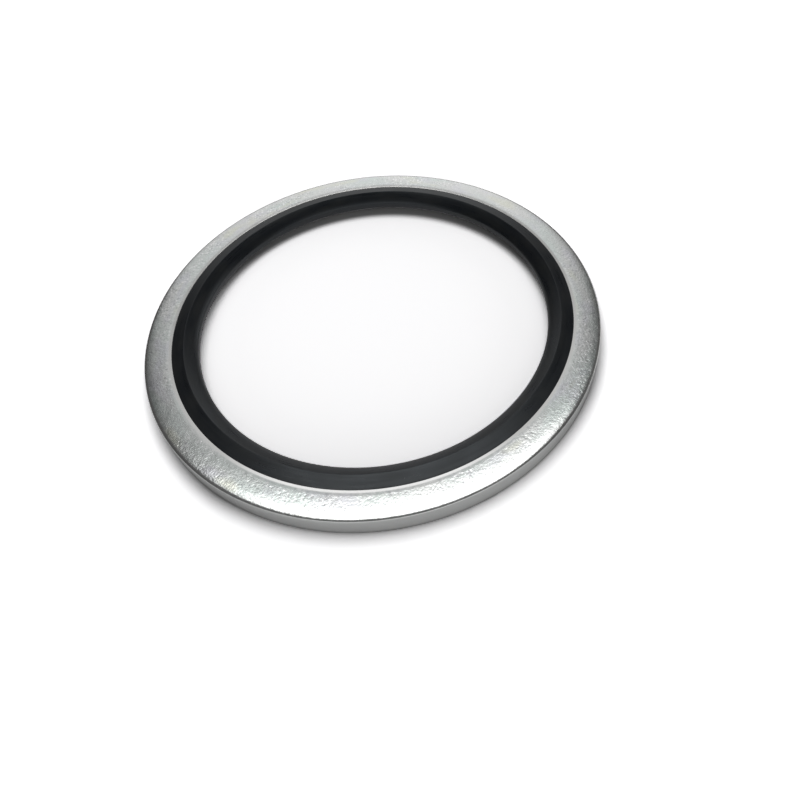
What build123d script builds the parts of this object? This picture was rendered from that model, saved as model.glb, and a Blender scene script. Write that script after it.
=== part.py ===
from build123d import *
import os

# Bonded sealing washer for an M30 thread: a stamped steel ring with a rubber seal bonded into its bore.
# Sizes are in millimetres. Z is the washer's axis, and the lower crest of the seal touches Z = 0.

# Rubber seal: a ring with a round bore and a lip on each face
seal_inner_diameter = 30.7      # clears the thread
seal_width = 1.95               # radial, from the land to the bonded wall
land_height = 0.2               # upright middle of the bore
crest_inset = 0.95              # radial, from the land to the crest of the lip
crest_projection = 0.1          # how far each crest stands proud of the steel face
recess_depth = 0.08             # how far the rubber lies below the steel face at the bonded wall

# Steel ring: a flat blank. The die rolls its lower rim edge over, and tumbling eases the other three.
ring_width = 2.2                # radial, from the bonded wall to the rim
ring_thickness = 2.0
bore_ease_width = 0.35          # both bore edges
bore_ease_depth = 0.05
rim_ease_width = 0.3            # upper rim edge
rim_ease_depth = 0.12
rim_roll_width = 0.5            # lower rim edge
rim_roll_depth = 0.22

# Radii that follow from the widths
land_radius = seal_inner_diameter / 2
crest_radius = land_radius + crest_inset
bore_radius = land_radius + seal_width
rim_radius = bore_radius + ring_width

# Heights above the washer's middle plane
ring_top = ring_thickness / 2
ring_bottom = -ring_top
crest_level = ring_top + crest_projection
bond_level = ring_top - recess_depth
land_level = land_height / 2

# Both sections are drawn on one upright plane: X is the radius, and Y is the height above the middle plane.
section_plane = Plane.XZ.shift_origin((0, 0, crest_level))

os.makedirs("parts", exist_ok=True)


# Steel ring. Each edge is an arc that leaves the flat face smoothly and meets the upright wall at its depth.
with BuildPart() as steel_ring:
    with BuildSketch(section_plane):
        with BuildLine():
            upper_bore_edge = TangentArc(
                (bore_radius + bore_ease_width, ring_top),
                (bore_radius, ring_top - bore_ease_depth),
                tangent=(-1, 0),
            )
            lower_bore_edge = TangentArc(
                (bore_radius + bore_ease_width, ring_bottom),
                (bore_radius, ring_bottom + bore_ease_depth),
                tangent=(-1, 0),
            )
            lower_rim_edge = TangentArc(
                (rim_radius - rim_roll_width, ring_bottom),
                (rim_radius, ring_bottom + rim_roll_depth),
                tangent=(1, 0),
            )
            upper_rim_edge = TangentArc(
                (rim_radius - rim_ease_width, ring_top),
                (rim_radius, ring_top - rim_ease_depth),
                tangent=(1, 0),
            )
            Line(upper_bore_edge @ 1, lower_bore_edge @ 1)
            Line(lower_bore_edge @ 0, lower_rim_edge @ 0)
            Line(lower_rim_edge @ 1, upper_rim_edge @ 1)
            Line(upper_rim_edge @ 0, upper_bore_edge @ 0)
        make_face()
    revolve(axis=Axis.Z)
steel_ring.part.label = "steel_ring"
export_step(steel_ring.part, "parts/steel_ring.step")


# Rubber seal. The shoulder rises in one arc from the land to the crest. Past the crest the flank falls
# straight to the bonded wall, just below the steel face. The lower half of the section mirrors the upper one.
with BuildPart() as rubber_seal:
    with BuildSketch(section_plane):
        with BuildLine():
            shoulder = TangentArc(
                (land_radius, land_level),
                (crest_radius, crest_level),
                tangent=(0, 1),
            )
            Polyline(
                shoulder @ 1,
                (bore_radius, bond_level),
                (bore_radius, 0),
                (land_radius, 0),
                shoulder @ 0,
            )
        make_face()
        mirror(about=Plane.XZ)
    revolve(axis=Axis.Z)
rubber_seal.part.label = "rubber_seal"
export_step(rubber_seal.part, "parts/rubber_seal.step")
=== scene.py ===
import logging
import math
from dataclasses import dataclass, field
from enum import Enum

import bpy
from mathutils import Matrix, Vector


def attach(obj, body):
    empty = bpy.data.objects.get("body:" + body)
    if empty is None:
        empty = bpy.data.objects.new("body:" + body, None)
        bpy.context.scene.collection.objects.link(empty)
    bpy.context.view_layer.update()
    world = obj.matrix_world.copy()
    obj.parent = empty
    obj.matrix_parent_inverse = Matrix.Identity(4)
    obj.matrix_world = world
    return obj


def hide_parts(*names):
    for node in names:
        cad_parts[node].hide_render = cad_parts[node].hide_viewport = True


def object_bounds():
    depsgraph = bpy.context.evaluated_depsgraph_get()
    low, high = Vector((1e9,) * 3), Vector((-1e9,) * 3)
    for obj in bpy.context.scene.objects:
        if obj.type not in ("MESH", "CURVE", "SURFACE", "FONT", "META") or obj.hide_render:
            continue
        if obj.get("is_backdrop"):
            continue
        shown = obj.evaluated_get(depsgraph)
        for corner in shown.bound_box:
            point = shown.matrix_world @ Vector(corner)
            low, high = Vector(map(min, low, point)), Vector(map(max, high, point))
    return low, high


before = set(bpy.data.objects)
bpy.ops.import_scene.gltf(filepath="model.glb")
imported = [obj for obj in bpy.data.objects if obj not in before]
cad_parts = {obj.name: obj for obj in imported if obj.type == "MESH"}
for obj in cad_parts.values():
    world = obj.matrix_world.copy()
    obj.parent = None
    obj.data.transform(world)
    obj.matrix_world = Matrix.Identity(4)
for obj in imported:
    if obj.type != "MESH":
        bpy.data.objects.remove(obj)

log = logging.getLogger("washer")

MM = 0.001
FULL_TURN = 2 * math.pi
NO_GAP = 1e-7               # points closer than this are merged

Point = tuple[float, float]
Place = tuple[float, float, float]
Colour = tuple[float, float, float, float]
Socket = bpy.types.NodeSocket


class Slot(Enum):
    """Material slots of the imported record."""

    STEEL = "steel_ring"
    RUBBER = "rubber_seal"


# ---------------------------------------------------------------- node trees


@dataclass(frozen=True)
class Ramp:
    """Even change of a value between two limits, with no change beyond them."""

    low: float
    high: float
    at_low: float = 0.0
    at_high: float = 1.0


class Graph:
    """Adds nodes to a tree and links them."""

    def __init__(self, tree: bpy.types.NodeTree) -> None:
        """Keeps the tree to build in."""
        self.tree = tree

    def add(self, kind: str, inputs: dict | None = None, **settings: object) -> bpy.types.Node:
        """Adds one node.

        Args:
            kind: The node's type name.
            inputs: Socket name or number to a value, or to the socket that feeds it.
            settings: Properties of the node.

        Returns:
            The new node.
        """
        node = self.tree.nodes.new(kind)
        for name, value in settings.items():
            setattr(node, name, value)
        for key, value in (inputs or {}).items():
            socket = node.inputs[key]
            if isinstance(value, Socket):
                self.tree.links.new(value, socket)
            else:
                socket.default_value = value
        return node

    def math(self, operation: str, *values: Socket | float, clamp: bool = False) -> Socket:
        """Adds a Math node and returns its result."""
        inputs = dict(enumerate(values))
        return self.add("ShaderNodeMath", inputs, operation=operation, use_clamp=clamp).outputs[0]

    def product(self, first: Socket, *others: Socket | float) -> Socket:
        """Multiplies values.

        Args:
            first: The first value.
            others: The values to multiply it with.

        Returns:
            The product.
        """
        result = first
        for value in others:
            result = self.math("MULTIPLY", result, value)
        return result

    def vector(self, operation: str, *values: Socket | Place) -> Socket:
        """Adds a Vector Math node and returns its vector."""
        return self.add("ShaderNodeVectorMath", dict(enumerate(values)), operation=operation).outputs[0]

    def scaled(self, vector: Socket, factor: Socket | float) -> Socket:
        """Multiplies a vector by a number."""
        return self.add("ShaderNodeVectorMath", {0: vector, "Scale": factor}, operation="SCALE").outputs[0]

    def along(self, vector: Socket, direction: Place) -> Socket:
        """Returns how far a vector reaches in a direction."""
        inputs = {0: vector, 1: direction}
        return self.add("ShaderNodeVectorMath", inputs, operation="DOT_PRODUCT").outputs["Value"]

    def length(self, vector: Socket) -> Socket:
        """Returns a vector's length."""
        return self.add("ShaderNodeVectorMath", {0: vector}, operation="LENGTH").outputs["Value"]

    def parts(self, vector: Socket) -> bpy.types.NodeOutputs:
        """Returns a vector's X, Y and Z."""
        return self.add("ShaderNodeSeparateXYZ", {0: vector}).outputs

    def ramp(self, value: Socket, ramp: Ramp, smooth: bool = False) -> Socket:
        """Maps a value through a ramp.

        Args:
            value: The value to map.
            ramp: The limits and the results at them.
            smooth: Whether the change starts and ends gently.

        Returns:
            The mapped value.
        """
        inputs = {
            "Value": value,
            "From Min": ramp.low,
            "From Max": ramp.high,
            "To Min": ramp.at_low,
            "To Max": ramp.at_high,
        }
        kind = "SMOOTHSTEP" if smooth else "LINEAR"
        return self.add("ShaderNodeMapRange", inputs, interpolation_type=kind).outputs[0]

    def mix(self, factor: Socket, first: Socket | Colour, second: Socket | Colour) -> Socket:
        """Mixes two colours."""
        inputs = {"Factor": factor, 6: first, 7: second}
        return self.add("ShaderNodeMix", inputs, data_type="RGBA").outputs[2]

    def bump(self, height: Socket) -> Socket:
        """Adds a Bump node for a height in metres and returns its normal."""
        return self.add("ShaderNodeBump", {"Strength": 1.0, "Distance": 1.0, "Height": height}).outputs[0]

    def object_place(self) -> Socket:
        """Returns the place on the piece, in its own frame."""
        return self.add("ShaderNodeTexCoord").outputs["Object"]


def new_tree(name: str, kind: str, inputs: dict[str, str], outputs: dict[str, str]) -> tuple:
    """Makes a node group with named sockets.

    Args:
        name: The group's name.
        kind: The tree's type.
        inputs: Socket name to socket type.
        outputs: Socket name to socket type.

    Returns:
        The Graph of the tree, its group input node and its group output node.
    """
    tree = bpy.data.node_groups.new(name, kind)
    for way, sockets in (("INPUT", inputs), ("OUTPUT", outputs)):
        for socket_name, socket_type in sockets.items():
            tree.interface.new_socket(name=socket_name, in_out=way, socket_type=socket_type)
    graph = Graph(tree)
    return graph, graph.add("NodeGroupInput"), graph.add("NodeGroupOutput")


def new_material(name: str) -> tuple[bpy.types.Material, Graph]:
    """Makes a material with an empty tree.

    Args:
        name: The material's name.

    Returns:
        The material and the Graph of its tree.
    """
    made = bpy.data.materials.new(name)
    made.use_nodes = True
    made.node_tree.nodes.clear()
    return made, Graph(made.node_tree)


# ---------------------------------------------------------------- turned pieces


@dataclass
class Section:
    """Outline of a ring's section, as points of radius and height that run once round it."""

    points: list[Point] = field(default_factory=list)

    def line(self, radius: float, height: float, steps: int) -> "Section":
        """Adds a straight run to a point.

        Args:
            radius: The end's radius.
            height: The end's height.
            steps: The number of equal steps.

        Returns:
            The same section.
        """
        r0, z0 = self.points[-1]
        for i in range(1, steps + 1):
            share = i / steps
            self.points.append((r0 + (radius - r0) * share, z0 + (height - z0) * share))
        return self

    def bend(self, corner: Point, end: Point, steps: int) -> "Section":
        """Adds a smooth curve that leaves towards a corner and arrives from it.

        Args:
            corner: The corner that the curve rounds off.
            end: The curve's end.
            steps: The number of steps.

        Returns:
            The same section.
        """
        start = self.points[-1]
        for i in range(1, steps + 1):
            t = i / steps
            shares = ((1 - t) ** 2, 2 * t * (1 - t), t * t)
            radius, height = (sum(s * v for s, v in zip(shares, vs)) for vs in zip(start, corner, end))
            self.points.append((radius, height))
        return self


def towards(start: Point, end: Point, distance: float) -> Point:
    """Returns the point that lies a distance from one point towards another."""
    length = math.dist(start, end)
    return tuple(a + (b - a) * distance / length for a, b in zip(start, end))


class TurnedForm:
    """Geometry Nodes tree that turns a section about Z and makes the surface slightly uneven."""

    SOCKETS = {
        "Geometry": "NodeSocketGeometry",
        "Segments": "NodeSocketInt",
        "Unevenness": "NodeSocketFloat",
        "Unevenness Size": "NodeSocketFloat",
        "Seed": "NodeSocketFloat",
        "Material": "NodeSocketMaterial",
    }
    NOISE_DETAIL = 3.0

    def __init__(self) -> None:
        """Builds the tree, from the section in to the dressed ring out."""
        graph, given, result = new_tree(
            "turned_form", "GeometryNodeTree", self.SOCKETS, {"Geometry": "NodeSocketGeometry"}
        )
        self.tree = graph.tree
        turned = self._turned(graph, given)
        uneven = self._uneven(graph, given, turned)
        real = graph.add("GeometryNodeRealizeInstances", {"Geometry": uneven}).outputs[0]
        dress = {"Geometry": real, "Material": given.outputs["Material"]}
        dressed = graph.add("GeometryNodeSetMaterial", dress).outputs[0]
        graph.tree.links.new(dressed, result.inputs["Geometry"])

    def _turned(self, graph: Graph, given: bpy.types.Node) -> Socket:
        """Bends a flat grid into the closed ring, with a UV map round it and across it.

        Args:
            graph: The tree's graph.
            given: The group input node.

        Returns:
            The smooth, closed ring.
        """
        section = given.outputs["Geometry"]
        count = graph.add("GeometryNodeAttributeDomainSize", {"Geometry": section}).outputs["Point Count"]
        grid = graph.add(
            "GeometryNodeMeshGrid",
            {
                "Size X": 1.0,
                "Size Y": 1.0,
                "Vertices X": graph.math("ADD", count, 1),
                "Vertices Y": graph.math("ADD", given.outputs["Segments"], 1),
            },
        )
        place = graph.add("GeometryNodeInputPosition").outputs[0]
        flat = graph.parts(place)
        across = graph.math("ADD", flat[0], 0.5)
        around = graph.math("ADD", flat[1], 0.5)
        column = graph.math("MODULO", graph.math("ROUND", graph.math("MULTIPLY", across, count)), count)
        sample = graph.add(
            "GeometryNodeSampleIndex",
            {"Geometry": section, "Index": column},
            data_type="FLOAT_VECTOR",
            domain="POINT",
        )
        graph.tree.links.new(place, sample.inputs["Value"])
        profile = graph.parts(sample.outputs[0])
        angle = graph.math("MULTIPLY", around, FULL_TURN)
        turned = graph.add(
            "ShaderNodeCombineXYZ",
            {
                0: graph.math("MULTIPLY", profile[0], graph.math("COSINE", angle)),
                1: graph.math("MULTIPLY", profile[0], graph.math("SINE", angle)),
                2: profile[2],
            },
        ).outputs[0]
        uv = graph.add("ShaderNodeCombineXYZ", {0: around, 1: across}).outputs[0]
        mapped = graph.add(
            "GeometryNodeStoreNamedAttribute",
            {"Geometry": grid.outputs["Mesh"], "Name": "UVMap", "Value": uv},
            data_type="FLOAT2",
            domain="CORNER",
        ).outputs[0]
        shaped = graph.add("GeometryNodeSetPosition", {"Geometry": mapped, "Position": turned}).outputs[0]
        merge = {"Geometry": shaped, "Distance": NO_GAP}
        closed = graph.add("GeometryNodeMergeByDistance", merge).outputs[0]
        return graph.add("GeometryNodeSetShadeSmooth", {"Geometry": closed}).outputs[0]

    def _uneven(self, graph: Graph, given: bpy.types.Node, smooth: Socket) -> Socket:
        """Moves the surface in and out a little, by a noise of the given size.

        Args:
            graph: The tree's graph.
            given: The group input node.
            smooth: The even ring.

        Returns:
            The uneven ring.
        """
        noise = graph.add(
            "ShaderNodeTexNoise",
            {
                "Vector": graph.add("GeometryNodeInputPosition").outputs[0],
                "W": given.outputs["Seed"],
                "Scale": graph.math("DIVIDE", 1.0, given.outputs["Unevenness Size"]),
                "Detail": self.NOISE_DETAIL,
            },
            noise_dimensions="4D",
        ).outputs[0]
        height = graph.math("MULTIPLY", graph.math("SUBTRACT", noise, 0.5), given.outputs["Unevenness"])
        normal = graph.add("GeometryNodeInputNormal").outputs[0]
        move = {"Geometry": smooth, "Offset": graph.scaled(normal, height)}
        return graph.add("GeometryNodeSetPosition", move).outputs[0]

    def make(self, name: str, section: Section, **values: object) -> bpy.types.Object:
        """Turns a section into a plain mesh object.

        Args:
            name: The piece's name.
            section: The outline to turn.
            values: Socket name, with underscores for spaces, to value.

        Returns:
            The finished object, with no modifier.
        """
        outline = bpy.data.meshes.new(name + "_section")
        vertices = [(radius, 0.0, height) for radius, height in section.points]
        edges = [(i, (i + 1) % len(vertices)) for i in range(len(vertices))]
        outline.from_pydata(vertices, edges, [])
        carrier = bpy.data.objects.new(name + "_carrier", outline)
        bpy.context.scene.collection.objects.link(carrier)
        modifier = carrier.modifiers.new("turned", "NODES")
        modifier.node_group = self.tree
        for item in self.tree.interface.items_tree:
            key = item.name.replace(" ", "_")
            if item.in_out == "INPUT" and key in values:
                modifier[item.identifier] = values[key]
        depsgraph = bpy.context.evaluated_depsgraph_get()
        mesh = bpy.data.meshes.new_from_object(carrier.evaluated_get(depsgraph))
        mesh.name = name
        carrier.modifiers.clear()
        bpy.data.objects.remove(carrier)
        piece = bpy.data.objects.new(name, mesh)
        bpy.context.scene.collection.objects.link(piece)
        return piece


@dataclass
class SteelRing:
    """Stamped and plated steel ring.

    Its upper face is crowned: it falls a little from the crown to the bore and to the rim. A narrow cone
    leads from the face to the upper bore edge. The die rolls the lower rim edge over.
    """

    bore_radius: float = 17.3 * MM
    rim_radius: float = 19.5 * MM
    bottom: float = 0.1 * MM
    top: float = 2.1 * MM
    crown_radius: float = 18.75 * MM
    bore_fall: float = 0.028 * MM
    rim_fall: float = 0.025 * MM
    bore_ease_width: float = 0.3 * MM
    bore_ease_depth: float = 0.09 * MM
    bore_cone_width: float = 0.2 * MM
    bore_cone_depth: float = 0.042 * MM
    bore_turn_width: float = 0.24 * MM      # corner that the bend from cone to face rounds off
    bore_turn_depth: float = 0.0325 * MM
    rim_ease_width: float = 0.22 * MM
    rim_ease_depth: float = 0.13 * MM
    rim_break_width: float = 0.03 * MM      # where the upper rim edge breaks into its steep part
    rim_break_depth: float = 0.055 * MM
    rim_lean_width: float = 0.07 * MM       # corner of the bend above the break
    rim_lean_depth: float = 0.006 * MM
    rim_turn_width: float = 0.01 * MM       # corner of the bend below the break
    rim_turn_depth: float = 0.025 * MM
    rim_roll_width: float = 0.5 * MM
    rim_roll_depth: float = 0.22 * MM
    rim_corner_width: float = 0.05 * MM     # small corner between the wall and the roll
    rim_corner_depth: float = 0.0333 * MM
    unevenness: float = 0.008 * MM
    unevenness_size: float = 1.6 * MM
    seed: float = 3.0
    segments: int = 1080
    face_steps: int = 16
    wall_steps: int = 12
    under_steps: int = 10
    bend_steps: int = 6
    ease_steps: int = 5
    roll_steps: int = 8
    corner_steps: int = 4
    bore_steps: int = 3

    def face(self, radius: float) -> Point:
        """Finds the point of the upper face at a radius.

        Args:
            radius: The radius.

        Returns:
            The radius and the face's height there.
        """
        if radius < self.crown_radius:
            fall, end = self.bore_fall, self.bore_radius + self.bore_ease_width
        else:
            fall, end = self.rim_fall, self.rim_radius - self.rim_ease_width
        share = (radius - self.crown_radius) / (end - self.crown_radius)
        return radius, self.top - fall * share * share

    def section(self) -> Section:
        """Draws the ring's outline, from the upper face out to the rim, back under and up the bore.

        Returns:
            The closed outline, without its first point at its end.
        """
        bore, rim, top, bottom = self.bore_radius, self.rim_radius, self.top, self.bottom
        inner, outer = bore + self.bore_ease_width, rim - self.rim_ease_width
        step = (outer - inner) / self.face_steps
        made = Section([self.face(inner + step * i) for i in range(self.face_steps + 1)])

        edge = top - self.rim_fall
        rim_break = edge - self.rim_break_depth
        lean = (outer + self.rim_lean_width, edge - self.rim_lean_depth)
        turn = (rim - self.rim_turn_width, rim_break - self.rim_turn_depth)
        made.bend(lean, (rim - self.rim_break_width, rim_break), self.bend_steps)
        made.bend(turn, (rim, edge - self.rim_ease_depth), self.bend_steps)

        roll, width = bottom + self.rim_roll_depth, self.rim_roll_width
        corner = (rim - self.rim_corner_width, roll - self.rim_corner_depth)
        made.line(rim, roll + self.rim_corner_width, self.wall_steps)
        made.bend((rim, roll), corner, self.corner_steps)
        made.bend((rim - width / 2, bottom), (rim - width, bottom), self.roll_steps)
        made.line(inner, bottom, self.under_steps)

        ease = self.bore_ease_depth
        made.bend((bore + self.bore_ease_width / 2, bottom), (bore, bottom + ease), self.ease_steps)
        made.line(bore, top - ease, self.bore_steps)
        made.line(bore + self.bore_cone_width, top - self.bore_cone_depth, self.ease_steps)
        turn = (bore + self.bore_turn_width, top - self.bore_turn_depth)
        made.bend(turn, self.face(inner), self.ease_steps)
        made.points.pop()
        return made

    def build(self, form: TurnedForm, material: bpy.types.Material) -> bpy.types.Object:
        """Makes the ring and puts it in place of the plain one.

        Args:
            form: The tree that turns a section.
            material: The ring's finish.

        Returns:
            The finished ring.
        """
        piece = form.make(
            "plated_ring",
            self.section(),
            Segments=self.segments,
            Unevenness=self.unevenness,
            Unevenness_Size=self.unevenness_size,
            Seed=self.seed,
            Material=material,
        )
        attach(piece, "root")
        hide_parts("steel_ring")
        return piece


@dataclass
class RubberSeal:
    """Moulded rubber ring with an upright land in its bore and a lip on each face."""

    land_radius: float = 15.3 * MM
    bore_radius: float = 17.3 * MM
    middle: float = 1.1 * MM
    land_rise: float = 0.15 * MM            # heights above and below the middle
    shoulder_rise: float = 0.44 * MM
    crest_rise: float = 1.1 * MM
    bond_rise: float = 0.91 * MM
    crest_radius: float = 16.28 * MM
    crest_round: float = 0.025 * MM
    bond_edge: float = 0.02 * MM            # last short stretch of the flank, beside the steel
    unevenness: float = 0.01 * MM
    unevenness_size: float = 2.5 * MM
    seed: float = 7.0
    segments: int = 720
    shoulder_steps: int = 22
    crest_steps: int = 5
    flank_steps: int = 8
    wall_steps: int = 4

    def half(self, side: int) -> list[Point]:
        """Draws the outline on one side of the middle, from the land to the bonded wall.

        Args:
            side: 1 for the upper half, -1 for the lower one.

        Returns:
            The outline's points.
        """
        knee = (self.land_radius, self.middle + side * self.shoulder_rise)
        crest = (self.crest_radius, self.middle + side * self.crest_rise)
        wall = (self.bore_radius, self.middle + side * self.bond_rise)
        made = Section([(self.land_radius, self.middle)])
        made.line(self.land_radius, self.middle + side * self.land_rise, 1)
        made.bend(knee, towards(crest, knee, self.crest_round), self.shoulder_steps)
        made.bend(crest, towards(crest, wall, self.crest_round), self.crest_steps)
        made.line(*towards(wall, crest, self.bond_edge), self.flank_steps)
        made.line(*wall, 1)
        return made.points

    def section(self) -> Section:
        """Draws the seal's outline, up over the upper half and back along the lower one.

        Returns:
            The closed outline, without its first point at its end.
        """
        made = Section(self.half(1))
        lower = self.half(-1)
        made.line(*lower[-1], self.wall_steps)
        made.points += lower[-2:0:-1]
        return made

    def build(self, form: TurnedForm, material: bpy.types.Material) -> bpy.types.Object:
        """Makes the seal and puts it in place of the plain one.

        Args:
            form: The tree that turns a section.
            material: The seal's finish.

        Returns:
            The finished seal.
        """
        piece = form.make(
            "lipped_seal",
            self.section(),
            Segments=self.segments,
            Unevenness=self.unevenness,
            Unevenness_Size=self.unevenness_size,
            Seed=self.seed,
            Material=material,
        )
        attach(piece, "root")
        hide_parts("rubber_seal")
        return piece


# ---------------------------------------------------------------- materials


@dataclass(frozen=True)
class Grain:
    """Noise in the ring's own directions: a length round it, a length across it, a detail and a seed."""

    around: float
    across: float
    detail: float
    seed: float


@dataclass(frozen=True)
class Patches:
    """Soft-edged patches: a grain and the ramp that its noise goes through."""

    grain: Grain
    ramp: Ramp


@dataclass(frozen=True)
class Specks:
    """Small scattered dots: the size of a cell, the size of a dot and the share of cells that hold one."""

    spacing: float
    size: float
    share: float


class Finish:
    """Shader groups that both finishes share."""

    GRAIN_RADIUS = 18.4 * MM                # where a grain's length round the ring is true

    def __init__(self) -> None:
        """Builds the groups."""
        self.grain_tree = self._grain_tree()
        self.speck_tree = self._speck_tree()

    def _grain_tree(self) -> bpy.types.NodeTree:
        """Builds noise in the ring's own directions.

        Returns:
            The group, which also gives the distance from the axis.
        """
        sockets = {"Vector": "NodeSocketVector"}
        sockets.update(dict.fromkeys(("Around", "Across", "Detail", "Seed"), "NodeSocketFloat"))
        outputs = {"Value": "NodeSocketFloat", "Radius": "NodeSocketFloat"}
        graph, given, result = new_tree("ring_grain", "ShaderNodeTree", sockets, outputs)
        flat = graph.vector("MULTIPLY", given.outputs["Vector"], (1, 1, 0))
        radius = graph.length(flat)
        height = graph.parts(given.outputs["Vector"])[2]
        turn = graph.math("DIVIDE", self.GRAIN_RADIUS, given.outputs["Around"])
        ringed = graph.scaled(graph.vector("NORMALIZE", flat), turn)
        rise = graph.math("DIVIDE", graph.math("ADD", radius, height), given.outputs["Across"])
        place = graph.vector("ADD", ringed, graph.add("ShaderNodeCombineXYZ", {2: rise}).outputs[0])
        noise = graph.add(
            "ShaderNodeTexNoise",
            {"Vector": place, "W": given.outputs["Seed"], "Scale": 1.0, "Detail": given.outputs["Detail"]},
            noise_dimensions="4D",
        ).outputs[0]
        graph.tree.links.new(noise, result.inputs["Value"])
        graph.tree.links.new(radius, result.inputs["Radius"])
        return graph.tree

    def _speck_tree(self) -> bpy.types.NodeTree:
        """Builds a mask of small scattered dots.

        Returns:
            The group.
        """
        sockets = {"Vector": "NodeSocketVector"}
        sockets.update(dict.fromkeys(("Spacing", "Size", "Share"), "NodeSocketFloat"))
        graph, given, result = new_tree("specks", "ShaderNodeTree", sockets, {"Mask": "NodeSocketFloat"})
        density = graph.math("DIVIDE", 1.0, given.outputs["Spacing"])
        cells = graph.add("ShaderNodeTexVoronoi", {"Vector": given.outputs["Vector"], "Scale": density})
        reach = graph.math("DIVIDE", given.outputs["Size"], given.outputs["Spacing"])
        share_out = graph.math("DIVIDE", cells.outputs["Distance"], reach)
        near = graph.math("SUBTRACT", 1.0, share_out, clamp=True)
        chance = graph.add("ShaderNodeSeparateColor", {0: cells.outputs["Color"]}).outputs[0]
        chosen = graph.math("LESS_THAN", chance, given.outputs["Share"])
        graph.tree.links.new(graph.math("MULTIPLY", near, chosen), result.inputs["Mask"])
        return graph.tree

    def _place(self, graph: Graph, tree: bpy.types.NodeTree, values: dict[str, float]) -> bpy.types.Node:
        """Adds a group to a material, on Object coordinates.

        Args:
            graph: The material's graph.
            tree: The group.
            values: Socket name to value.

        Returns:
            The group node.
        """
        node = graph.add("ShaderNodeGroup", node_tree=tree)
        graph.tree.links.new(graph.object_place(), node.inputs["Vector"])
        for name, value in values.items():
            node.inputs[name].default_value = value
        return node

    def grain(self, graph: Graph, grain: Grain) -> bpy.types.Node:
        """Adds a grain to a material.

        Args:
            graph: The material's graph.
            grain: The grain's values.

        Returns:
            The group node, with outputs Value and Radius.
        """
        values = {
            "Around": grain.around,
            "Across": grain.across,
            "Detail": grain.detail,
            "Seed": grain.seed,
        }
        return self._place(graph, self.grain_tree, values)

    def patches(self, graph: Graph, patches: Patches) -> Socket:
        """Adds patches to a material and returns their mask."""
        return graph.ramp(self.grain(graph, patches.grain).outputs["Value"], patches.ramp)

    def specks(self, graph: Graph, specks: Specks) -> Socket:
        """Adds dots to a material and returns their mask."""
        values = {"Spacing": specks.spacing, "Size": specks.size, "Share": specks.share}
        return self._place(graph, self.speck_tree, values).outputs["Mask"]


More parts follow.
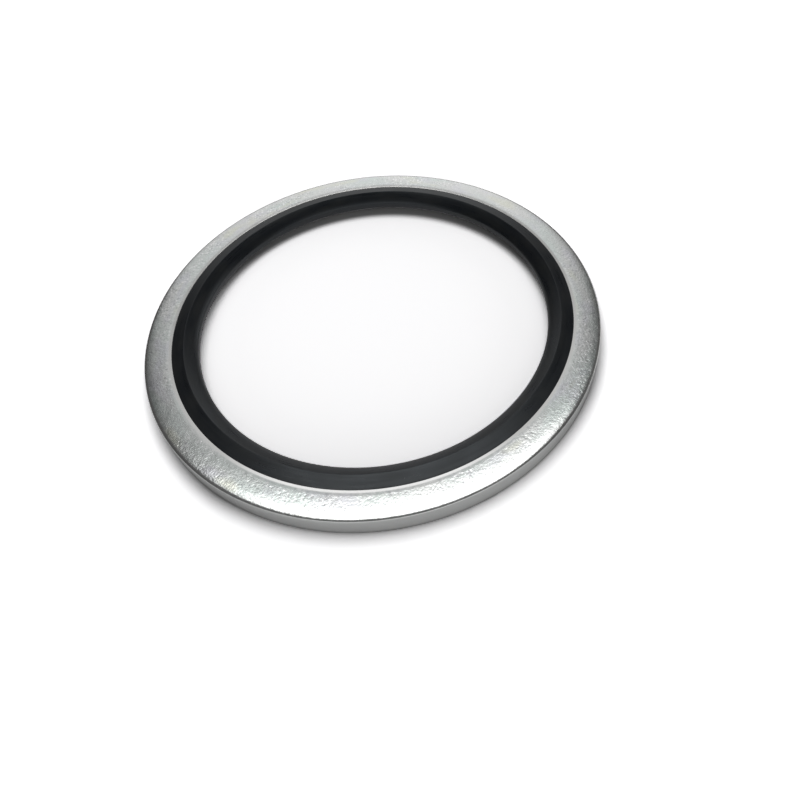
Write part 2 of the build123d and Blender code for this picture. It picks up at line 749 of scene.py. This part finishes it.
@dataclass(frozen=True)
class ZincPlate:
    """Tumbled bright zinc plate.

    The upper face has flecks, pits and a cast of colour that drifts. The narrow cone beside the bore has a
    painted highlight on its lit side, towards the camera, and painted shade elsewhere; the rim edge has
    painted shade away from the lit side. The wall is duller, and the lower rim edge that the die turns over
    has painted shade.
    """

    colour: Colour = (0.76, 0.77, 0.76, 1.0)
    roughness: float = 0.21
    roughness_swing: Ramp = Ramp(0.3, 0.7, -0.03, 0.04)
    wall_roughness: float = 0.33
    wall_flatness: float = 0.6              # share of the relief that the wall lacks
    casts: tuple[tuple[Patches, Colour], ...] = (
        (Patches(Grain(6 * MM, 2.2 * MM, 2.0, 5.0), Ramp(0.4, 0.62, 0.0, 0.9)), (0.70, 0.76, 0.735, 1.0)),
        (Patches(Grain(3 * MM, 1.4 * MM, 2.0, 6.0), Ramp(0.52, 0.66, 0.0, 0.6)), (0.735, 0.735, 0.785, 1.0)),
        (Patches(Grain(4 * MM, 1.6 * MM, 1.0, 7.0), Ramp(0.6, 0.72, 0.0, 0.8)), (0.78, 0.79, 0.70, 1.0)),
    )
    rough_patches: Patches = Patches(Grain(5 * MM, 2.5 * MM, 1.0, 4.0), Ramp(0.42, 0.6, 0.2, 1.0))
    bright_specks: Specks = Specks(0.23 * MM, 0.17 * MM, 0.4)
    bright_speck: Colour = (0.97, 0.97, 0.97, 1.0)
    dark_specks: Specks = Specks(0.26 * MM, 0.17 * MM, 0.3)
    dark_speck: Colour = (0.56, 0.57, 0.58, 1.0)
    fleck: Grain = Grain(0.42 * MM, 0.42 * MM, 2.5, 1.0)
    fine: Grain = Grain(0.15 * MM, 0.15 * MM, 2.0, 2.0)
    pits: Specks = Specks(0.27 * MM, 0.15 * MM, 0.45)
    fleck_height: float = 0.0075 * MM
    fine_height: float = 0.0075 * MM
    pit_depth: float = 0.0055 * MM
    # painted highlight on the bore cone's lit side, towards the camera
    painted_highlight: Colour = (1.0, 1.0, 0.99, 1.0)
    # painted shade on the bore cone and the rim edge, away from the lit side
    edge: Colour = (0.62, 0.62, 0.61, 1.0)
    # painted shade on the lower rim edge, darkest at the bottom
    roll_shade: Colour = (0.28, 0.28, 0.27, 1.0)
    # the lit side of the painted highlight faces the camera
    lit_side_direction: Place = (-0.139, -0.99, 0.0)
    lit_side_ramp: Ramp = Ramp(14 * MM, 16.5 * MM)
    bore_edge: Ramp = Ramp(17.48 * MM, 17.6 * MM, 1.0, 0.0)
    bore_relief: Ramp = Ramp(17.52 * MM, 17.75 * MM, 0.15, 1.0)
    rim_edge: Ramp = Ramp(19.2 * MM, 19.32 * MM)
    rim_wall: Ramp = Ramp(19.44 * MM, 19.49 * MM)
    roll_shade_rise: Ramp = Ramp(0.15 * MM, 0.75 * MM, 1.0, 0.0)
    roll_shade_rim: Ramp = Ramp(18.8 * MM, 19.0 * MM)

    def _face(self, graph: Graph, finish: Finish, patch: Socket) -> Socket:
        """Colours the upper face.

        Args:
            graph: The material's graph.
            finish: The shared groups.
            patch: Mask of the rougher patches.

        Returns:
            The colour, with its casts and specks.
        """
        colour = self.colour
        for patches, cast in self.casts:
            colour = graph.mix(finish.patches(graph, patches), colour, cast)
        for specks, speck in ((self.bright_specks, self.bright_speck), (self.dark_specks, self.dark_speck)):
            mask = graph.math("MULTIPLY", finish.specks(graph, specks), patch)
            colour = graph.mix(mask, colour, speck)
        return colour

    def _edges(self, graph: Graph, face: Socket, radius: Socket, wall: Socket) -> Socket:
        """Colours the cone beside the bore, the rim, the wall and the lower rim edge, with painted light and
        shade.

        Args:
            graph: The material's graph.
            face: The face's colour.
            radius: The distance from the axis.
            wall: Mask of the outer wall.

        Returns:
            The colour of the whole ring.
        """
        place = graph.object_place()
        # Painted highlight on the lit side of the bore cone; painted shade on the rest of it and on the rim
        # edge away from the lit side.
        lit_side = graph.ramp(graph.along(place, self.lit_side_direction), self.lit_side_ramp)
        bore = graph.mix(lit_side, self.edge, self.painted_highlight)
        colour = graph.mix(graph.ramp(radius, self.bore_edge), face, bore)
        rim = graph.mix(lit_side, self.edge, self.colour)
        colour = graph.mix(graph.ramp(radius, self.rim_edge), colour, rim)
        colour = graph.mix(wall, colour, self.colour)
        # Painted shade on the lower rim edge, darkest at the bottom.
        roll_shade = graph.ramp(graph.parts(place)[2], self.roll_shade_rise)
        roll_shade = graph.math("MULTIPLY", roll_shade, graph.ramp(radius, self.roll_shade_rim))
        return graph.mix(roll_shade, colour, self.roll_shade)

    def material(self, finish: Finish) -> bpy.types.Material:
        """Builds the material.

        Args:
            finish: The shared groups.

        Returns:
            The material.
        """
        made, graph = new_material("zinc_plate")
        fleck = finish.grain(graph, self.fleck)
        fine = finish.grain(graph, self.fine).outputs["Value"]
        radius = fleck.outputs["Radius"]
        patch = finish.patches(graph, self.rough_patches)
        wall = graph.ramp(radius, self.rim_wall)
        colour = self._edges(graph, self._face(graph, finish, patch), radius, wall)

        pits = graph.math("MULTIPLY", finish.specks(graph, self.pits), patch)
        height = graph.math("MULTIPLY", fleck.outputs["Value"], self.fleck_height)
        height = graph.math("MULTIPLY_ADD", fine, self.fine_height, height)
        height = graph.math("MULTIPLY_ADD", pits, -self.pit_depth, height)
        relief = graph.math("MULTIPLY_ADD", wall, -self.wall_flatness, 1.0)
        height = graph.product(height, graph.ramp(radius, self.bore_relief), relief)

        rough = graph.ramp(fleck.outputs["Value"], self.roughness_swing)
        rough = graph.math("ADD", rough, self.roughness)
        rough = graph.math("MULTIPLY_ADD", wall, self.wall_roughness - self.roughness, rough)
        shader = graph.add(
            "ShaderNodeBsdfPrincipled",
            {"Base Color": colour, "Metallic": 1.0, "Roughness": rough, "Normal": graph.bump(height)},
        ).outputs[0]
        graph.add("ShaderNodeOutputMaterial", {"Surface": shader})
        return made


@dataclass(frozen=True)
class SealRubber:
    """Moulded black rubber: faint flow lines round the ring, a soft sheen and a little dust."""

    colour: Colour = (0.003, 0.0043, 0.0066, 1.0)
    worn: Colour = (0.0065, 0.007, 0.0072, 1.0)
    dust: Colour = (0.09, 0.09, 0.088, 1.0)
    sheen: Colour = (0.9, 0.96, 1.0, 1.0)
    roughness: float = 0.31
    roughness_swing: Ramp = Ramp(0.3, 0.7, -0.04, 0.05)
    flow_roughness: float = 0.22
    dust_roughness: float = 0.3
    flow: Grain = Grain(7 * MM, 0.22 * MM, 2.0, 11.0)
    flow_height: float = 0.0045 * MM
    cloud: Grain = Grain(2.6 * MM, 0.9 * MM, 2.0, 12.0)
    worn_share: Ramp = Ramp(0.42, 0.68)
    pores: Grain = Grain(0.09 * MM, 0.09 * MM, 2.0, 13.0)
    pore_height: float = 0.0012 * MM
    dust_specks: Specks = Specks(1.3 * MM, 0.07 * MM, 0.16)

    def material(self, finish: Finish) -> bpy.types.Material:
        """Builds the material.

        Args:
            finish: The shared groups.

        Returns:
            The material.
        """
        made, graph = new_material("seal_rubber")
        flow = finish.grain(graph, self.flow).outputs["Value"]
        cloud = finish.grain(graph, self.cloud).outputs["Value"]
        pores = finish.grain(graph, self.pores).outputs["Value"]
        dust = finish.specks(graph, self.dust_specks)
        colour = graph.mix(graph.ramp(cloud, self.worn_share), self.colour, self.worn)
        colour = graph.mix(dust, colour, self.dust)

        rough = graph.ramp(cloud, self.roughness_swing)
        rough = graph.math("ADD", rough, self.roughness)
        rough = graph.math("MULTIPLY_ADD", graph.math("SUBTRACT", flow, 0.5), self.flow_roughness, rough)
        rough = graph.math("MULTIPLY_ADD", dust, self.dust_roughness, rough)
        height = graph.math("MULTIPLY", flow, self.flow_height)
        height = graph.math("MULTIPLY_ADD", pores, self.pore_height, height)
        shader = graph.add(
            "ShaderNodeBsdfPrincipled",
            {
                "Base Color": colour,
                "Roughness": rough,
                "Specular Tint": self.sheen,
                "Normal": graph.bump(height),
            },
        ).outputs[0]
        graph.add("ShaderNodeOutputMaterial", {"Surface": shader})
        return made


# ---------------------------------------------------------------- studio


@dataclass
class Camera:
    """Close camera whose lens is shifted, so that the washer lies off the frame's middle."""

    focal_pixels: float = 576.0
    frame_pixels: float = 800.0
    axis_pixel: Point = (418.0, 286.0)      # where the lens looks straight out
    washer_pixel: Point = (374.8, 316.8)    # where the washer's middle is seen
    sensor_width: float = 36.0
    distance: float = 52.44 * MM
    elevation: float = 47.44                # degrees
    roll: float = -9.95                     # degrees
    aim_height: float = 0.1 * MM
    nearest: float = 1 * MM
    farthest: float = 100.0

    def _axes(self) -> Matrix:
        """Works out which way the camera faces.

        Returns:
            The camera's right, up and back as the columns of a matrix.
        """
        rise = math.radians(self.elevation)
        forward = Vector((0, math.cos(rise), -math.sin(rise)))
        right = Vector((1, 0, 0))
        level = Matrix((right, forward.cross(right), forward))
        turn = Matrix.Rotation(math.radians(self.roll), 3, "Z")
        offset = [(a - b) / self.focal_pixels for a, b in zip(self.washer_pixel, self.axis_pixel)]
        swing = Vector((0, 0, 1)).rotation_difference(Vector((*offset, 1))).to_matrix()
        rows = swing @ turn @ level
        return Matrix((rows[0], -rows[1], -rows[2])).transposed()

    def place(self) -> bpy.types.Object:
        """Makes the camera and looks through it.

        Returns:
            The camera.
        """
        data = bpy.data.cameras.new("camera")
        data.sensor_width = self.sensor_width
        data.lens = self.focal_pixels / self.frame_pixels * data.sensor_width
        data.clip_start, data.clip_end = self.nearest, self.farthest
        half = self.frame_pixels / 2
        data.shift_x = (half - self.axis_pixel[0]) / self.frame_pixels
        data.shift_y = (self.axis_pixel[1] - half) / self.frame_pixels
        camera = bpy.data.objects.new("camera", data)
        rise = math.radians(self.elevation)
        behind, above = self.distance * math.cos(rise), self.distance * math.sin(rise)
        place = Vector((0, -behind, above + self.aim_height))
        camera.matrix_world = Matrix.Translation(place) @ self._axes().to_4x4()
        bpy.context.scene.collection.objects.link(camera)
        bpy.context.scene.camera = camera
        return camera


@dataclass
class Floor:
    """Pale floor that looks white to the camera and keeps the washer's shadow.

    Inside the seal's land the floor has a painted seam of shade beside the rubber, seen only by the camera.
    Outside, it has a painted contact shade beside the rim, which is weakest on the side that faces the
    camera and darkest in a narrow ring just under the rim.
    """

    size: float = 2.0
    colour: Place = (0.68, 0.677, 0.683)
    divide: float = 18 * MM                 # between the floor inside the washer and the floor outside
    inner_gain: float = 2.94
    outer_gain: float = 3.6
    gain_from: float = 12.5 * MM
    gain_to: float = 20.5 * MM
    mirrored_tilt: Place = (-0.35, 1.0, 0.0)
    mirrored_share: float = 0.14            # share of the gain that a reflection shows
    mirrored_share_behind: float = 0.55
    mirrored_depth: float = 9 * MM
    seam_offset: Place = (0.34 * MM, 1.26 * MM, 0.0)
    # painted seam of shade on the floor beside the seal's land
    seam: Ramp = Ramp(15.45 * MM, 16.6 * MM, 0.0, 0.8)
    rim_direction: Place = (0.087, -0.996, 0.0)
    rim_shade: Ramp = Ramp(0.985, 0.67, 0.0, 0.8)
    rim_fade: Ramp = Ramp(19.4 * MM, 21.2 * MM, 1.0, 0.0)
    rim_fade_power: float = 2.2
    # painted contact shade in a narrow ring just under the rim
    rim_gap: Ramp = Ramp(19.15 * MM, 19.55 * MM, 0.3, 1.0)

    def _seen(self, graph: Graph, path: bpy.types.Node, place: Socket, outside: Socket) -> Socket:
        """Works out how much of the gain a ray shows.

        Args:
            graph: The material's graph.
            path: The Light Path node.
            place: The place on the floor.
            outside: 1 outside the washer, 0 inside.

        Returns:
            1 for the camera, less for a reflection and 0 for other light.
        """
        behind = Ramp(0.0, self.mirrored_depth, self.mirrored_share, self.mirrored_share_behind)
        inner = graph.ramp(graph.along(place, self.mirrored_tilt), behind)
        to_outer = graph.math("SUBTRACT", self.mirrored_share, inner)
        mirrored = graph.math("MULTIPLY_ADD", outside, to_outer, inner)
        glossy = graph.math("MULTIPLY", path.outputs["Is Glossy Ray"], mirrored)
        seen = graph.math("MAXIMUM", path.outputs["Is Camera Ray"], glossy)
        return graph.math("MAXIMUM", seen, path.outputs["Is Transmission Ray"])

    def _shade(self, graph: Graph, path: bpy.types.Node, place: Socket, inside: Socket) -> Socket:
        """Works out the painted seam of shade inside and the painted contact shade outside.

        Args:
            graph: The material's graph.
            path: The Light Path node.
            place: The place on the floor.
            inside: 1 inside the washer, 0 outside.

        Returns:
            The share of the floor's brightness that is left.
        """
        radius = graph.length(place)
        seam = graph.length(graph.vector("ADD", place, self.seam_offset))
        # Painted seam of shade inside the washer, seen only by the camera.
        seam = graph.product(graph.ramp(seam, self.seam, smooth=True), inside, path.outputs["Is Camera Ray"])
        # Painted contact shade outside the washer, weakest towards the camera and darkest just under the
        # rim.
        facing = graph.along(graph.vector("NORMALIZE", place), self.rim_direction)
        fade = graph.math("POWER", graph.ramp(radius, self.rim_fade), self.rim_fade_power)
        rim = graph.math("MULTIPLY", graph.ramp(facing, self.rim_shade), fade)
        rim = graph.math("SUBTRACT", 1.0, rim)
        rim = graph.math("MULTIPLY", rim, graph.ramp(radius, self.rim_gap))
        rim = graph.math("MAXIMUM", rim, inside)
        return graph.math("SUBTRACT", rim, seam)

    def _material(self) -> bpy.types.Material:
        """Builds the floor's material.

        Returns:
            The material.
        """
        made, graph = new_material("table_white")
        path = graph.add("ShaderNodeLightPath")
        place = graph.object_place()
        radius = graph.length(place)
        outside = graph.math("GREATER_THAN", radius, self.divide)
        inside = graph.math("LESS_THAN", radius, self.divide)
        white = graph.ramp(radius, Ramp(self.gain_from, self.gain_to, self.inner_gain, self.outer_gain))
        seen = self._seen(graph, path, place, outside)
        gain = graph.math("MULTIPLY_ADD", graph.math("SUBTRACT", white, 1.0), seen, 1.0)
        gain = graph.math("MULTIPLY", gain, self._shade(graph, path, place, inside))
        tone = graph.add("ShaderNodeCombineXYZ", dict(enumerate(self.colour))).outputs[0]
        shader = graph.add("ShaderNodeBsdfDiffuse", {"Color": graph.scaled(tone, gain)}).outputs[0]
        graph.add("ShaderNodeOutputMaterial", {"Surface": shader})
        return made

    def place(self) -> bpy.types.Object:
        """Lays the floor under the washer.

        Returns:
            The floor.
        """
        half = self.size / 2
        corners = [(-half, -half, 0), (half, -half, 0), (half, half, 0), (-half, half, 0)]
        mesh = bpy.data.meshes.new("floor")
        mesh.from_pydata(corners, [], [(0, 1, 2, 3)])
        mesh.materials.append(self._material())
        floor = bpy.data.objects.new("floor", mesh)
        bpy.context.scene.collection.objects.link(floor)
        floor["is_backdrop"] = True
        return floor


@dataclass
class Room:
    """Light of the room by direction: a pale wall behind, a glow above it, a front light and a right light.

    A bearing of 0 degrees lies behind the washer, and 90 to its right. The camera sees plain white.
    """

    base: float = 0.1
    wall: float = 0.78
    glow: float = 0.28
    front: float = 0.9
    wall_left: Ramp = Ramp(-34.0, -20.5, 0.0, 0.75)
    wall_middle: Ramp = Ramp(-20.5, 0.0, 0.0, 0.25)
    wall_right: Ramp = Ramp(20.0, 37.0, 1.0, 0.0)
    wall_top: Ramp = Ramp(40.0, 50.0, 1.0, 0.5)
    wall_foot: Ramp = Ramp(3.0, 15.0, 0.25, 1.0)
    glow_sides: Ramp = Ramp(32.0, 48.0, 1.0, 0.0)
    glow_foot: Ramp = Ramp(45.0, 60.0)
    front_sides: Ramp = Ramp(112.0, 145.0)
    front_top: Ramp = Ramp(14.0, 60.0, 1.0, 0.0)
    right_start: Ramp = Ramp(38.0, 46.0, 0.0, 1.2)
    right_end: Ramp = Ramp(80.0, 93.0, 1.0, 0.0)
    right_height: Ramp = Ramp(45.0, 80.0, 22.0, 42.0)
    right_top: Ramp = Ramp(0.3, 1.0, 1.0, 0.0)

    def _behind(self, graph: Graph, bearing: Socket, rise: Socket) -> Socket:
        """Works out the wall and the glow behind the washer.

        Args:
            graph: The world's graph.
            bearing: The direction's bearing, in degrees.
            rise: The direction's rise, in degrees.

        Returns:
            The brightness.
        """
        wall = graph.product(
            graph.math("ADD", graph.ramp(bearing, self.wall_left), graph.ramp(bearing, self.wall_middle)),
            graph.ramp(bearing, self.wall_right),
            graph.ramp(rise, self.wall_top),
            graph.ramp(rise, self.wall_foot),
            self.wall,
        )
        aside = graph.math("ABSOLUTE", bearing)
        glow = graph.product(graph.ramp(aside, self.glow_sides), graph.ramp(rise, self.glow_foot), self.glow)
        return graph.math("MAXIMUM", wall, glow)

    def _before(self, graph: Graph, bearing: Socket, rise: Socket) -> Socket:
        """Works out the front light and the right light, which is higher towards the front.

        Args:
            graph: The world's graph.
            bearing: The direction's bearing, in degrees.
            rise: The direction's rise, in degrees.

        Returns:
            The brightness.
        """
        aside = graph.math("ABSOLUTE", bearing)
        front = graph.product(graph.ramp(aside, self.front_sides), graph.ramp(rise, self.front_top))
        share = graph.math("DIVIDE", rise, graph.ramp(bearing, self.right_height))
        right = graph.product(
            graph.ramp(bearing, self.right_start),
            graph.ramp(bearing, self.right_end),
            graph.ramp(share, self.right_top),
        )
        return graph.product(graph.math("MAXIMUM", front, right), self.front)

    def place(self) -> bpy.types.World:
        """Makes the world.

        Returns:
            The world.
        """
        world = bpy.data.worlds.new("studio")
        world.use_nodes = True
        world.node_tree.nodes.clear()
        graph = Graph(world.node_tree)
        east, north, up = graph.parts(graph.add("ShaderNodeTexCoord").outputs["Generated"])
        rise = graph.math("DEGREES", graph.math("ARCSINE", up))
        bearing = graph.math("DEGREES", graph.math("ARCTAN2", east, north))
        level = graph.math("ADD", self._behind(graph, bearing, rise), self.base)
        level = graph.math("ADD", level, self._before(graph, bearing, rise))
        camera = graph.add("ShaderNodeLightPath").outputs["Is Camera Ray"]
        level = graph.math("MAXIMUM", level, camera)
        back = graph.add("ShaderNodeBackground", {"Color": (1, 1, 1, 1), "Strength": level}).outputs[0]
        graph.add("ShaderNodeOutputWorld", {"Surface": back})
        bpy.context.scene.world = world
        return world


@dataclass
class Panel:
    """Soft lamp panel above the washer, which looks like an even pale rectangle from it."""

    elevation: float = 77.1                 # degrees, leaning to the back
    wide: float = 42.0                      # degrees
    high: float = 25.8                      # degrees
    radiance: float = 2.06
    distance: float = 0.6

    def place(self) -> bpy.types.Object:
        """Hangs the lamp so that it faces the washer.

        Returns:
            The lamp.
        """
        rise = math.radians(self.elevation)
        out = Vector((0, math.cos(rise), math.sin(rise)))
        side = Vector((1, 0, 0))
        width = 2 * self.distance * math.tan(math.radians(self.wide) / 2)
        height = 2 * self.distance * math.tan(math.radians(self.high) / 2)
        data = bpy.data.lights.new("overhead_panel", "AREA")
        data.shape = "RECTANGLE"
        data.size, data.size_y = width, height
        data.energy = self.radiance * math.pi * width * height
        lamp = bpy.data.objects.new("overhead_panel", data)
        lamp.location = out * self.distance
        lamp.rotation_euler = Matrix((side, out.cross(side), out)).transposed().to_euler()
        lamp.visible_camera = False
        bpy.context.scene.collection.objects.link(lamp)
        return lamp


class Studio:
    """Camera, floor, room and lamp."""

    def build(self) -> None:
        """Sets the stage round the washer."""
        for part in (Camera(), Floor(), Room(), Panel()):
            log.info("%s placed", part.place().name)
        bpy.context.scene.view_settings.view_transform = "Standard"


# ---------------------------------------------------------------- the washer


def corners() -> list[list[float]]:
    """Returns the shown object's lowest and highest corner as plain lists."""
    return [list(corner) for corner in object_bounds()]


def main() -> None:
    """Builds the pieces in order and the studio round them."""
    logging.basicConfig(level=logging.INFO, format="%(message)s")
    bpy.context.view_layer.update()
    form, finish = TurnedForm(), Finish()
    for piece in (
        SteelRing().build(form, ZincPlate().material(finish)),
        RubberSeal().build(form, SealRubber().material(finish)),
    ):
        log.info("%s: %d faces", piece.name, len(piece.data.polygons))
    Studio().build()


if __name__ == "__main__":
    main()
